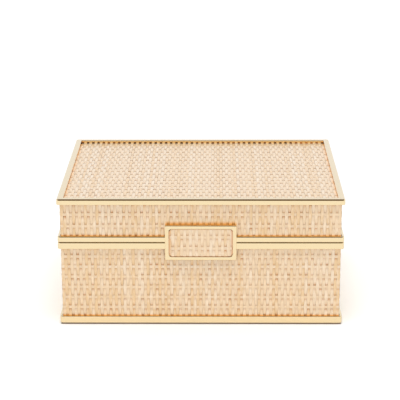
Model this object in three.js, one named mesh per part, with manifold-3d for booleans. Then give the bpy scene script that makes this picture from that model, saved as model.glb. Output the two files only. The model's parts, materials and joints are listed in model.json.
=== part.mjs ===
// Hinged keepsake box: board walls covered in woven cane, edged in brass rails, lined in suede.
// Millimetres, +Z up, +X to the right, the front faces -Y. The origin is on the ground, under the
// middle of the box. Each ring of four pieces is mitred at the corners, as its maker cuts it.

import * as THREE from 'three';
import { mergeVertices } from 'three/addons/utils/BufferGeometryUtils.js';
import Module from 'manifold-3d';

const wasm = await Module();
wasm.setup();

// Overall size, over the cane faces of the walls
const boxWidth = 250;
const boxDepth = 200;

// Heights of the two halves, brass to brass, and the gap between them when the lid is shut
const baseHeight = 76.35;
const lidHeight = 39.85;
const closingGap = 0.3;

// Wall build-up, from outside to inside
const caneThickness = 1.4;
const boardThickness = 6;
const liningThickness = 1.2;
const glueLine = 0.05;
const boardFace = caneThickness + glueLine;
const wallThickness = boardFace + boardThickness;
const liningFace = wallThickness + glueLine + liningThickness;

// Suede pads on the floor and under the lid's top, and how far the lining stops below the brass
const padThickness = 3;
const padGap = 0.4;
const liningDrop = 0.6;

// Brass rails: a flange on the wall's edge, and a nose that stands proud of the cane. The nose
// turns a corner on a radius, and its edges are eased: most of all along the ledge of the lid rim,
// less beside the closing gap, and only broken elsewhere.
const flangeThickness = 1.2;
const railCorner = 2.8;
const ledgeEase = 1;
const grooveEase = 0.7;
const brokenEase = 0.4;
const rimProud = 2.2;
const baseRimFace = 6;
const lidRimFace = 5.35;
const footProud = 2;
const footFace = 6.3;
const footLedge = 5;

// Frame round the top panel, and how deep the panel's cane lies in it
const frameProud = 2.4;
const frameFace = 5.2;
const frameWidth = 5.8;
const frameEase = 1.4;
const frameRecess = 2.5;
const frameInnerEase = 0.3;
const panelGap = 0.15;

// Felt under the floor, which carries the box a little off the table. It fills the foot rim's
// opening, and reaches out under the rim to just behind its face.
const feltThickness = 2.7;
const feltGap = 0.5;
const feltSetback = 1;
const feltProud = feltThickness - flangeThickness;

// Lift plate in front of the rims, with its cane inlay
const plateWidth = 63.5;
const plateHeight = 32.4;
const plateFloor = 0.5;
const plateDrop = 16;
const plateGap = 0.3;
const plateBorder = 3.1;
const plateCorner = 1;
const plateEase = 0.8;
const pocketCorner = 3;
const inlayRecess = 0.15;
const inlayGap = 0.25;
const pocketDepth = glueLine + caneThickness + inlayRecess;
const plateThickness = plateFloor + pocketDepth;
const plateStandOff = rimProud + plateGap;
const plateTop = plateHeight - plateDrop;

// Block between the lift plate and the lid's cane, all but flush with the plate, where its screws
// lie and how deep they go in
const blockInset = 0.2;
const blockSideInset = 0.2;
const blockHalf = plateWidth / 2 - blockSideInset;
const blockGap = 0.4;
const blockBite = 1.5;
const blockScrewInset = 16.7;

// Hinges: two stop hinges let into the back rims, their barrels outside
const hingeWidth = 25;
const hingeFromEnd = 50;
const knuckleCount = 5;
const knuckleRadius = 2.2;
const knuckleGap = 0.2;
const barrelGap = 0.3;
const pinRadius = 0.9;
const pinPlay = 0.12;
const pinOverhang = 0.4;
const leafInset = 0.4;
const pocketGap = 0.3;
const barrelFace = knuckleRadius + barrelGap;
const axisOut = rimProud + barrelFace;

// Stop heels behind the barrel, which meet when the lid is open
const openAngle = 100;
const stopSlack = 0.25;
const heelGap = 0.25;
const heelReach = 1.6;
const heelThickness = 1.2;
const heelStart = knuckleRadius + heelGap;

// Countersunk screws: those of the hinges, and those of the lift plate's block
const leafScrew = { head: 1.9, rise: 0.9, shank: 0.9, length: 9, spacing: 14 };
const blockScrew = { head: 2.2, rise: 1.1, shank: 1, length: wallThickness + blockBite };
const screwGap = 0.15;
const slotWidth = 0.5;
const slotDepth = 0.4;

// Facets round a full turn, a plate's corner, half a rail's corner and a rail's edge, and one
// overrun for every cut
const turnSteps = 24;
const cornerSteps = 6;
const turnedSteps = 3;
const easeSteps = 4;
const overrun = 1;

// Heights in the base, from the foot rim's underside
const baseWallLow = flangeThickness + glueLine;
const baseWallHigh = baseHeight - flangeThickness - glueLine;
const floorTop = baseWallLow + boardThickness;

// Heights in the lid, from the lid rim's underside
const lidWallLow = flangeThickness + glueLine;
const panelTop = lidHeight - frameRecess;
const topBoardHigh = panelTop - caneThickness - glueLine;
const topBoardLow = topBoardHigh - boardThickness;
const frameInner = frameProud - frameWidth;

const finishes = {
  cane: { color: 0xebd0a9, roughness: 0.62, metalness: 0 },
  brass: { color: 0xe6c27c, roughness: 0.16, metalness: 1 },
  hinge: { color: 0xdcb56a, roughness: 0.28, metalness: 1 },
  board: { color: 0xb89468, roughness: 0.8, metalness: 0 },
  suede: { color: 0xe9dcc8, roughness: 0.95, metalness: 0 },
  felt: { color: 0x8a7560, roughness: 1, metalness: 0 },
};

const materials = {};
for (const [name, finish] of Object.entries(finishes)) {
  materials[name] = new THREE.MeshStandardMaterial(finish);
}

// The four sides, each drawn as the front and then turned about Z
const sides = [
  { side: 'front', turn: 0, half: boxWidth / 2, reach: boxDepth / 2 },
  { side: 'right', turn: Math.PI / 2, half: boxDepth / 2, reach: boxWidth / 2 },
  { side: 'back', turn: Math.PI, half: boxWidth / 2, reach: boxDepth / 2 },
  { side: 'left', turn: -Math.PI / 2, half: boxDepth / 2, reach: boxWidth / 2 },
];

// Hinges along the back as seen from behind, and the screws along one leaf
const hinges = [
  { hinge: 'left', along: boxWidth / 2 - hingeFromEnd },
  { hinge: 'right', along: hingeFromEnd - boxWidth / 2 },
];
const leafScrews = [
  { number: 1, along: -leafScrew.spacing / 2 },
  { number: 2, along: leafScrew.spacing / 2 },
];
const blockScrews = [
  { side: 'left', along: blockScrewInset - blockHalf },
  { side: 'right', along: blockHalf - blockScrewInset },
];

function addPiece(group, name, geometry, finish) {
  const piece = new THREE.Mesh(geometry, materials[finish]);
  piece.name = name;
  group.add(piece);
  return piece;
}

function toSolid(geometry) {
  const bare = geometry.clone();
  bare.deleteAttribute('normal');
  bare.deleteAttribute('uv');
  const merged = mergeVertices(bare);
  return new wasm.Manifold(new wasm.Mesh({
    numProp: 3,
    vertProperties: new Float32Array(merged.attributes.position.array),
    triVerts: new Uint32Array(merged.index.array),
  }));
}

function toGeometry(solid) {
  const result = solid.getMesh();
  const geometry = new THREE.BufferGeometry();
  geometry.setAttribute('position', new THREE.BufferAttribute(result.vertProperties, 3));
  geometry.setIndex(new THREE.BufferAttribute(result.triVerts, 1));
  geometry.computeVertexNormals();
  return geometry;
}

function join(...geometries) {
  return toGeometry(geometries.map(toSolid).reduce((whole, next) => whole.add(next)));
}

function cut(geometry, ...cutters) {
  const whole = toSolid(geometry);
  return toGeometry(cutters.map(toSolid).reduce((rest, next) => rest.subtract(next), whole));
}

// A straight block between two corners, given in any order
function slab([x0, y0, z0], [x1, y1, z1]) {
  const size = [x1 - x0, y1 - y0, z1 - z0].map(Math.abs);
  return new THREE.BoxGeometry(...size).translate((x0 + x1) / 2, (y0 + y1) / 2, (z0 + z1) / 2);
}

// A flat sheet with its middle over the origin, between two heights
function sheet(halfWidth, halfDepth, low, high) {
  return slab([-halfWidth, -halfDepth, low], [halfWidth, halfDepth, high]);
}

// A round bar along X, its middle at the origin
function barAlongX(radius, length) {
  return new THREE.CylinderGeometry(radius, radius, length, turnSteps).rotateZ(Math.PI / 2);
}

// One side of a mitred ring. The section is drawn as distance out from the cane face, and height.
// A point further out lies further along at both ends, which makes the 45 degree mitres. Where
// the ring has a corner radius, what stands proud of the cane turns half a corner at each end.
function mitredSide(section, { half, reach }, corner) {
  const proud = Math.max(...section.map(([out]) => out));
  const turns = corner > 0 ? turnedSteps : 0;
  const steps = 2 * turns + 1;
  const outline = new THREE.Shape(section.map(([out, height]) => new THREE.Vector2(out, height)));
  const geometry = new THREE.ExtrudeGeometry(outline, { depth: steps, steps, bevelEnabled: false });
  const points = geometry.attributes.position;
  for (let i = 0; i < points.count; i += 1) {
    const out = points.getX(i);
    const station = Math.round(points.getZ(i));
    const end = station > turns ? -1 : 1;
    const left = end > 0 ? station : steps - station;
    const turned = turns > 0 ? 1 - left / turns : 1;
    let along = half + out - corner * (1 - turned);
    let away = reach + out;
    if (corner > 0 && out > 2 * glueLine) {
      const radius = corner - proud + out;
      along = half + proud - corner + radius * Math.sin(turned * Math.PI / 4);
      away = reach + proud - corner + radius * Math.cos(turned * Math.PI / 4);
    }
    points.setXYZ(i, end * (along - glueLine), -away, points.getY(i));
  }
  geometry.computeVertexNormals();
  return geometry;
}

// A ring of four mitred pieces, each named after its side
function addRing(group, name, section, finish, { corner = 0, cuttersFor = () => [] } = {}) {
  for (const place of sides) {
    const plain = mitredSide(section, place, corner);
    const cutters = cuttersFor(place);
    const geometry = cutters.length > 0 ? cut(plain, ...cutters) : plain;
    addPiece(group, `${name}_${place.side}`, geometry, finish).rotation.z = place.turn;
  }
}

function barSection(inner, outer, low, high) {
  return [[inner, low], [outer, low], [outer, high], [inner, high]];
}

// A section from its square corners. A third number is the radius that a corner is eased to.
function easedSection(corners) {
  return corners.flatMap(([x, y, radius], i) => {
    if (!radius) return [[x, y]];
    const [beforeX, beforeY] = corners.at(i - 1);
    const [afterX, afterY] = corners[(i + 1) % corners.length];
    const arriving = new THREE.Vector2(x - beforeX, y - beforeY).setLength(radius);
    const leaving = new THREE.Vector2(afterX - x, afterY - y).setLength(radius);
    const centre = new THREE.Vector2(x, y).sub(arriving).add(leaving);
    const arc = [];
    for (let step = 0; step <= easeSteps; step += 1) {
      const turn = (Math.PI / 2) * (step / easeSteps);
      const point = centre.clone();
      point.addScaledVector(leaving, -Math.cos(turn)).addScaledVector(arriving, Math.sin(turn));
      arc.push(point.toArray());
    }
    return arc;
  });
}

// A lining that follows all four walls in one piece
function liningRing(low, high) {
  const loop = (inset) => {
    const x = boxWidth / 2 - inset;
    const y = boxDepth / 2 - inset;
    return [[-x, -y], [x, -y], [x, y], [-x, y]].map((corner) => new THREE.Vector2(...corner));
  };
  const ring = new THREE.Shape(loop(wallThickness + glueLine));
  ring.holes.push(new THREE.Path(loop(liningFace)));
  const geometry = new THREE.ExtrudeGeometry(ring, { depth: high - low, bevelEnabled: false });
  return geometry.translate(0, 0, low);
}

// A plate with round corners on the front, from its back face's distance out to its front face's.
// The ease rounds the edges of both faces.
function frontPlate(width, height, corner, backOut, frontOut, ease = 0) {
  const x = width / 2 - corner;
  const y = height / 2 - corner;
  const outline = new THREE.Shape();
  outline.absarc(x, -y, corner, -Math.PI / 2, 0);
  outline.absarc(x, y, corner, 0, Math.PI / 2);
  outline.absarc(-x, y, corner, Math.PI / 2, Math.PI);
  outline.absarc(-x, -y, corner, -Math.PI, -Math.PI / 2);
  const geometry = new THREE.ExtrudeGeometry(outline, {
    depth: frontOut - backOut - 2 * ease,
    bevelEnabled: ease > 0,
    bevelThickness: ease,
    bevelSize: ease,
    bevelOffset: -ease,
    bevelSegments: easeSteps,
    curveSegments: cornerSteps,
  });
  geometry.rotateX(Math.PI / 2);
  return geometry.translate(0, -boxDepth / 2 - backOut - ease, plateTop - plateHeight / 2);
}

// A countersunk screw along Z, its head's flat face at zero and its point downwards
function screwBody(kind, clearance) {
  const radius = kind.shank + clearance;
  const profile = [
    [0, -kind.length - clearance],
    [radius, -kind.length + kind.shank - clearance],
    [radius, -kind.rise],
    [kind.head + clearance, 0],
    [0, 0],
  ];
  const points = profile.map((point) => new THREE.Vector2(...point));
  return new THREE.LatheGeometry(points, turnSteps).rotateX(Math.PI / 2);
}

function screw(kind) {
  const end = kind.head + overrun;
  const slot = slab([-end, -slotWidth / 2, -slotDepth], [end, slotWidth / 2, overrun]);
  return cut(screwBody(kind, 0), slot);
}

// The hole for a screw, its countersink carried on above the surface
function screwHole(kind) {
  const radius = kind.head + screwGap;
  const mouth = new THREE.CylinderGeometry(radius, radius, overrun, turnSteps);
  mouth.rotateX(Math.PI / 2).translate(0, 0, overrun / 2);
  return join(screwBody(kind, screwGap), mouth);
}

// Pockets that let the leaves into a back rim. The wall's edge is at the height given, and the
// wall lies below it, where into is -1, or above it, where into is 1.
function leafPockets({ side, reach }, edge, into) {
  if (side !== 'back') return [];
  const halfWidth = hingeWidth / 2 + pocketGap;
  return hinges.map(({ along }) => slab(
    [along - halfWidth, -reach - rimProud - overrun, edge - into * overrun],
    [along + halfWidth, -reach + wallThickness + overrun, edge + into * (flangeThickness + pocketGap)],
  ));
}

function leafScrewHole(into) {
  const hole = screwHole(leafScrew);
  return into > 0 ? hole.rotateX(Math.PI) : hole;
}

// Pilot holes in a back board's edge, for the screws of both leaves
function boardScrewHoles({ side, reach }, edge, into) {
  if (side !== 'back') return [];
  const inward = boardFace + boardThickness / 2;
  return hinges.flatMap(({ along }) => leafScrews.map(
    (place) => leafScrewHole(into).translate(along + place.along, -reach + inward, edge),
  ));
}

// Holes through a front piece of the lid for the block's screws, driven from inside
function blockScrewHoles({ side }) {
  if (side !== 'front') return [];
  return blockScrews.map(({ along }) => placeBlockScrew(screwHole(blockScrew), along));
}

function placeBlockScrew(geometry, along) {
  const height = (lidRimFace + blockGap + plateTop - blockInset) / 2;
  return geometry.rotateX(-Math.PI / 2).translate(along, -boxDepth / 2 + wallThickness, height);
}

// One leaf about the hinge's axis, +Y pointing into the box. The base's leaf lies under the axis,
// where into is -1, and has the odd knuckles. The lid's lies over it and has the even ones.
function hingeLeaf(into) {
  const near = into * (closingGap / 2);
  const far = near + into * flangeThickness;
  const leafEnd = axisOut + wallThickness - leafInset;
  const heelTurn = -into * THREE.MathUtils.degToRad(openAngle / 2 + stopSlack);
  const leaf = slab([-hingeWidth / 2, barrelFace, near], [hingeWidth / 2, leafEnd, far]);
  const heel = slab(
    [-hingeWidth / 2, -heelStart - heelReach, 0],
    [hingeWidth / 2, -heelStart, into * heelThickness],
  );
  const pieces = [leaf, heel.rotateX(heelTurn)];

  const pitch = hingeWidth / knuckleCount;
  for (let i = into < 0 ? 0 : 1; i < knuckleCount; i += 2) {
    const start = -hingeWidth / 2 + i * pitch + (i > 0 ? knuckleGap / 2 : 0);
    const end = -hingeWidth / 2 + (i + 1) * pitch - (i < knuckleCount - 1 ? knuckleGap / 2 : 0);
    const knuckle = barAlongX(knuckleRadius, end - start).translate((start + end) / 2, 0, 0);
    const web = slab([start, 0, near], [end, barrelFace + leafInset, far]);
    const heelWeb = slab([start, -heelStart - heelReach / 2, 0], [end, 0, into * heelThickness]);
    pieces.push(knuckle, web, heelWeb.rotateX(heelTurn));
  }

  const inward = axisOut + boardFace + boardThickness / 2;
  const bore = barAlongX(pinRadius + pinPlay, hingeWidth + 2 * overrun);
  const holes = leafScrews.map(({ along }) => leafScrewHole(into).translate(along, inward, near));
  return cut(join(...pieces), bore, ...holes);
}

// The leaves and screws of one half, on its back, with the axis at the height given
function addLeaves(group, half, into, axisHeight) {
  const back = new THREE.Group();
  back.rotation.z = Math.PI;
  group.add(back);
  for (const { hinge, along } of hinges) {
    const seat = new THREE.Group();
    seat.position.set(along, -boxDepth / 2 - axisOut, axisHeight);
    back.add(seat);
    addPiece(seat, `hinge_${hinge}_${half}_leaf`, hingeLeaf(into), 'hinge');
    for (const place of leafScrews) {
      const name = `hinge_${hinge}_${half}_screw_${place.number}`;
      const piece = addPiece(seat, name, screw(leafScrew), 'hinge');
      piece.position.set(place.along, axisOut + boardFace + boardThickness / 2, into * (closingGap / 2));
      if (into > 0) piece.rotation.x = Math.PI;
    }
    if (into < 0) {
      const pin = barAlongX(pinRadius, hingeWidth + 2 * pinOverhang);
      addPiece(seat, `hinge_${hinge}_pin`, pin, 'hinge');
    }
  }
}

// Foot rim: an angle under the walls and the floor's edge, its nose up over the cane
const footSection = easedSection([
  [-wallThickness - footLedge, 0],
  [footProud, 0, brokenEase],
  [footProud, footFace, brokenEase],
  [glueLine, footFace],
  [glueLine, flangeThickness],
  [-wallThickness - footLedge, flangeThickness],
]);

// Base rim: a flange over the walls' edge, its nose down over the cane
const baseRimSection = easedSection([
  [-wallThickness, baseHeight - flangeThickness],
  [glueLine, baseHeight - flangeThickness],
  [glueLine, baseHeight - baseRimFace],
  [rimProud, baseHeight - baseRimFace, brokenEase],
  [rimProud, baseHeight, grooveEase],
  [-wallThickness, baseHeight],
]);

// Lid rim: the same under the lid's walls, its nose up over the cane
const lidRimSection = easedSection([
  [-wallThickness, 0],
  [rimProud, 0, grooveEase],
  [rimProud, lidRimFace, ledgeEase],
  [glueLine, lidRimFace],
  [glueLine, flangeThickness],
  [-wallThickness, flangeThickness],
]);

// Top frame: it lies on the top board's edge and caps the ends of the walls' cane
const frameSection = easedSection([
  [-caneThickness, lidHeight - frameFace],
  [frameProud, lidHeight - frameFace, brokenEase],
  [frameProud, lidHeight, frameEase],
  [frameInner, lidHeight, frameInnerEase],
  [frameInner, topBoardHigh + glueLine],
  [-caneThickness, topBoardHigh + glueLine],
]);

// Felt, foot rim, floor, walls, cane, rim and lining
function buildBase() {
  const base = new THREE.Group();
  const boards = barSection(-wallThickness, -boardFace, baseWallLow, baseWallHigh);
  const cane = barSection(-caneThickness, 0, baseWallLow, baseWallHigh);
  addRing(base, 'foot_rim', footSection, 'brass', { corner: railCorner });
  addRing(base, 'base_board', boards, 'board', {
    cuttersFor: (place) => boardScrewHoles(place, baseHeight, -1),
  });
  addRing(base, 'base_cane', cane, 'cane');
  addRing(base, 'base_rim', baseRimSection, 'brass', {
    corner: railCorner,
    cuttersFor: (place) => leafPockets(place, baseHeight, -1),
  });

  const floorInset = wallThickness + glueLine;
  const floor = sheet(boxWidth / 2 - floorInset, boxDepth / 2 - floorInset, baseWallLow, floorTop);
  addPiece(base, 'base_floor_board', floor, 'board');

  const feltInset = wallThickness + footLedge + feltGap;
  const feltReach = footProud - feltSetback;
  const felt = join(
    sheet(boxWidth / 2 - feltInset, boxDepth / 2 - feltInset, -feltProud, flangeThickness),
    sheet(boxWidth / 2 + feltReach, boxDepth / 2 + feltReach, -feltProud, -glueLine),
  );
  addPiece(base, 'base_felt_pad', felt, 'felt');

  const liningLow = floorTop + glueLine;
  addPiece(base, 'base_wall_lining', liningRing(liningLow, baseHeight - liningDrop), 'suede');

  const padInset = liningFace + padGap;
  const padTop = liningLow + padThickness;
  const pad = sheet(boxWidth / 2 - padInset, boxDepth / 2 - padInset, liningLow, padTop);
  addPiece(base, 'base_floor_pad', pad, 'suede');

  addLeaves(base, 'base', -1, baseHeight + closingGap / 2);
  return base;
}

// Rim, walls, cane, top, frame and lining
function buildLid() {
  const lid = new THREE.Group();
  const boards = barSection(-wallThickness, -boardFace, lidWallLow, topBoardLow - glueLine);
  const cane = barSection(-caneThickness, 0, lidWallLow, lidHeight - frameFace - glueLine);
  addRing(lid, 'lid_rim', lidRimSection, 'brass', {
    corner: railCorner,
    cuttersFor: (place) => leafPockets(place, 0, 1),
  });
  addRing(lid, 'lid_board', boards, 'board', {
    cuttersFor: (place) => [...boardScrewHoles(place, 0, 1), ...blockScrewHoles(place)],
  });
  addRing(lid, 'lid_cane', cane, 'cane', { cuttersFor: blockScrewHoles });
  addRing(lid, 'top_frame', frameSection, 'brass', { corner: railCorner });

  const top = sheet(boxWidth / 2 - boardFace, boxDepth / 2 - boardFace, topBoardLow, topBoardHigh);
  addPiece(lid, 'lid_top_board', top, 'board');

  const panelInset = panelGap - frameInner;
  const panelLow = topBoardHigh + glueLine;
  const panel = sheet(boxWidth / 2 - panelInset, boxDepth / 2 - panelInset, panelLow, panelTop);
  addPiece(lid, 'lid_top_cane', panel, 'cane');

  const liningHigh = topBoardLow - glueLine;
  addPiece(lid, 'lid_wall_lining', liningRing(liningDrop, liningHigh), 'suede');

  const padInset = liningFace + padGap;
  const padLow = liningHigh - padThickness;
  const pad = sheet(boxWidth / 2 - padInset, boxDepth / 2 - padInset, padLow, liningHigh);
  addPiece(lid, 'lid_top_pad', pad, 'suede');

  addLiftPlate(lid);
  addLeaves(lid, 'lid', 1, -closingGap / 2);
  return lid;
}

// The plate that lifts the lid, its cane inlay, and the block and screws that carry it. Only the
// plate's front edges are eased: it is drawn deeper, and what lies behind its back is cut away.
function addLiftPlate(lid) {
  const pocketWidth = plateWidth - 2 * plateBorder;
  const pocketHeight = plateHeight - 2 * plateBorder;
  const frontOut = plateStandOff + plateThickness;
  const pocketFloor = frontOut - pocketDepth;
  const plate = frontPlate(
    plateWidth,
    plateHeight,
    plateCorner,
    plateStandOff - plateEase - overrun,
    frontOut,
    plateEase,
  );
  const behind = slab(
    [-plateWidth, -boxDepth / 2, -plateHeight],
    [plateWidth, -boxDepth / 2 - plateStandOff, plateHeight],
  );
  const pocket = frontPlate(pocketWidth, pocketHeight, pocketCorner, pocketFloor, frontOut + overrun);
  addPiece(lid, 'lift_plate', cut(plate, behind, pocket), 'brass');

  const inlay = frontPlate(
    pocketWidth - 2 * inlayGap,
    pocketHeight - 2 * inlayGap,
    pocketCorner - inlayGap,
    pocketFloor + glueLine,
    pocketFloor + glueLine + caneThickness,
  );
  addPiece(lid, 'lift_plate_cane', inlay, 'cane');

  const block = slab(
    [-blockHalf, -boxDepth / 2 - plateStandOff + glueLine, lidRimFace + blockGap],
    [blockHalf, -boxDepth / 2 - glueLine, plateTop - blockInset],
  );
  const holes = blockScrews.map(({ along }) => placeBlockScrew(screwHole(blockScrew), along));
  addPiece(lid, 'lift_plate_block', cut(block, ...holes), 'brass');

  for (const { side, along } of blockScrews) {
    addPiece(lid, `lift_plate_screw_${side}`, placeBlockScrew(screw(blockScrew), along), 'hinge');
  }
}

const base = buildBase();
base.position.z = feltProud;

const lid = buildLid();
lid.position.z = feltProud + baseHeight + closingGap;

const box = new THREE.Group();
box.add(base, lid);

export default box;
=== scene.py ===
"""Dresses a hinged keepsake box: woven cane on walls and lid, polished brass rails, suede inside.

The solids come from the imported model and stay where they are. Lengths are metres, +X runs to the
right along the front, -Y is the front and +Z is up. The origin is on the ground under the box.
"""

import json
import math
import random

import bmesh
import bpy
from bpy.props import FloatProperty, FloatVectorProperty, IntProperty, PointerProperty
from mathutils import Matrix, Vector, noise


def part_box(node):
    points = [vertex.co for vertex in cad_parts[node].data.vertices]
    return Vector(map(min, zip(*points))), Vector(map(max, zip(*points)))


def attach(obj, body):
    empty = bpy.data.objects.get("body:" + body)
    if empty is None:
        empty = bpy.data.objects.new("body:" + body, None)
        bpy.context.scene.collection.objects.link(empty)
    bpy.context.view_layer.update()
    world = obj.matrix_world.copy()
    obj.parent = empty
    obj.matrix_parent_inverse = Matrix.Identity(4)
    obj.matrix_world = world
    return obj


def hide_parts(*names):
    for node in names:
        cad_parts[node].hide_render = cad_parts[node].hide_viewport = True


bl_info = {
    "name": "Woven cane box",
    "version": (1, 0, 0),
    "blender": (4, 5, 0),
    "location": "3D View > Sidebar > Cane box",
    "description": "Weaves the cane, polishes the brass and lines the inside of a keepsake box",
    "category": "Object",
}

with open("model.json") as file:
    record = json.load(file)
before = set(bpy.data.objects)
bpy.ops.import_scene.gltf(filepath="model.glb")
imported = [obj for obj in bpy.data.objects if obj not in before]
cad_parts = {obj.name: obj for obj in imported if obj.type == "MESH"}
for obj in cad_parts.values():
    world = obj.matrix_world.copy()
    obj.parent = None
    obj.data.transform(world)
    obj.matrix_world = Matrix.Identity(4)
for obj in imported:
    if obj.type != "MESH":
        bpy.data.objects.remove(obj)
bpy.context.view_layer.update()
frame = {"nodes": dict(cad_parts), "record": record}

MM = 0.001

SIDES = ("front", "right", "back", "left")
OUTWARD = {
    "front": Vector((0, -1, 0)),
    "right": Vector((1, 0, 0)),
    "back": Vector((0, 1, 0)),
    "left": Vector((-1, 0, 0)),
}
UP = Vector((0, 0, 1))

# A splint's section, clockwise from the top: share of its half width, and of its thickness
SPLINT_SECTION_SHARES = (
    (-0.8, 0.0),
    (0.8, 0.0),
    (1.0, -0.3),
    (0.0, -1.0),
    (-1.0, -0.3),
)

# The least distance between two rings of points on a splint
RING_GAP = 0.2 * MM

# Where the rings of points lie by a painted glow or shade, as shares of its reach
PAINTED_STEP_SHARES = (0.5, 1.0, 2.0)

# The most that an upright splint is out of place, sideways and in height
SPLINT_SHIFT = 0.03 * MM
SPLINT_LIFT = 0.02 * MM

# The narrowest upright splint and band, as shares of their widths
NARROWEST_SPLINT_SHARE = 0.96
NARROWEST_BAND_SHARE = 0.95

# From the least to the most: a band's tint, how much painted shade one splint's pits get, and one
# single pit
BAND_TINTS = (0.3, 0.9)
SPLINT_BROWNS = (0.3, 1.0)
PIT_BROWNS = (0.2, 1.0)

# Where in the noise a splint's fibres may start
FIBRE_STARTS = (0, 100)

# How sharply a splint bends beside a band, how fast a pit fades, and what swing a corner leaves
BEND_POWER = 2.4
PIT_FADE = 1.2
CORNER_SWING_SHARE = 0.1

# The length of a splint's slow wander, and how far from the panel's sides it is whole
WANDER_LENGTH = 30 * MM
WANDER_MARGIN = 3 * MM

# The painted shadow that stands for the holes at the top's back edge: how dark, how much that
# varies, and over what length
HOLE_DARKNESS = 1.6
HOLE_VARIATION = 0.8
HOLE_PATCH = 25 * MM

# How much of its depth a hole's painted shadow covers, and where its inner ring of points lies
HOLE_DARK_SHARE = 0.8
HOLE_RING_SHARE = 0.7

# Slices of the noise, one for each use
UPRIGHT_SLICE = 0.5
HOLE_SLICE = 2.5
BAND_SLICE = 3.5

# Most of a noise texture lies between these
NOISE_LOW = 0.3
NOISE_HIGH = 0.7

# Width and length in millimetres: the fibres, coarser than real ones so that they show, and the
# blotches where the rind was scraped deeper
FIBRE_SIZE = (0.25, 20)
BLOTCH_SIZE = (2, 6)

# How much the blotches count beside a splint's own tint, and between which tones golden turns to
# straw and straw to pale
BLOTCH_WEIGHT = 1.2
STRAW_TONES = (0.6, 1.0)
PALE_TONES = (1.25, 1.7)

# How far apart the brass's faint hazes, the cloth's brush marks and the board's flecks lie
HAZE_SIZE = 14 * MM
BRUSH_SIZE = 18 * MM
FLECK_SIZE = 1.2 * MM

# The smoothest and the roughest brass, as shares of its roughness
HAZE_SHARES = (0.8, 1.35)

# Points of a solid this near each other are one, and faces that turn less than this are flat
DOUBLES_REACH = 0.001 * MM
FLAT_ANGLE = math.radians(1)

# A pad's grid, the powers that keep its drawn-in sides and its rolled edge narrow, how high its
# sides stand against its middle, and how high its rolled edge stands against its sides
PAD_GRID = (48, 36)
PULL_POWER = 4
ROLL_POWER = 16
PAD_SIDE_SHARE = 0.75
PAD_EDGE_SHARE = 0.45

# The camera's sensor in millimetres, and how near and how far it sees
SENSOR_WIDTH = 36
CLIP_START = 10 * MM
CLIP_END = 100


def linear(hex_colour):
    """An sRGB hex colour as linear red, green and blue, with an alpha of one."""
    channels = [int(hex_colour[i:i + 2], 16) / 255 for i in (0, 2, 4)]
    return (*(c / 12.92 if c <= 0.04045 else ((c + 0.055) / 1.055) ** 2.4 for c in channels), 1.0)


def grey(level):
    """Light of one strength in red, green and blue, with an alpha of one."""
    return (level, level, level, 1.0)


def number(name, description, value):
    return FloatProperty(name=name, description=description, default=value)


def share(name, description, value):
    return FloatProperty(name=name, description=description, default=value, subtype="FACTOR")


def length(name, description, millimetres):
    return FloatProperty(
        name=name, description=description, default=millimetres * MM, unit="LENGTH"
    )


def angle(name, description, degrees):
    return FloatProperty(
        name=name, description=description, default=math.radians(degrees), subtype="ANGLE"
    )


def colour(name, description, hex_colour):
    return FloatVectorProperty(
        name=name, description=description, default=linear(hex_colour), subtype="COLOR", size=4
    )


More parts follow.
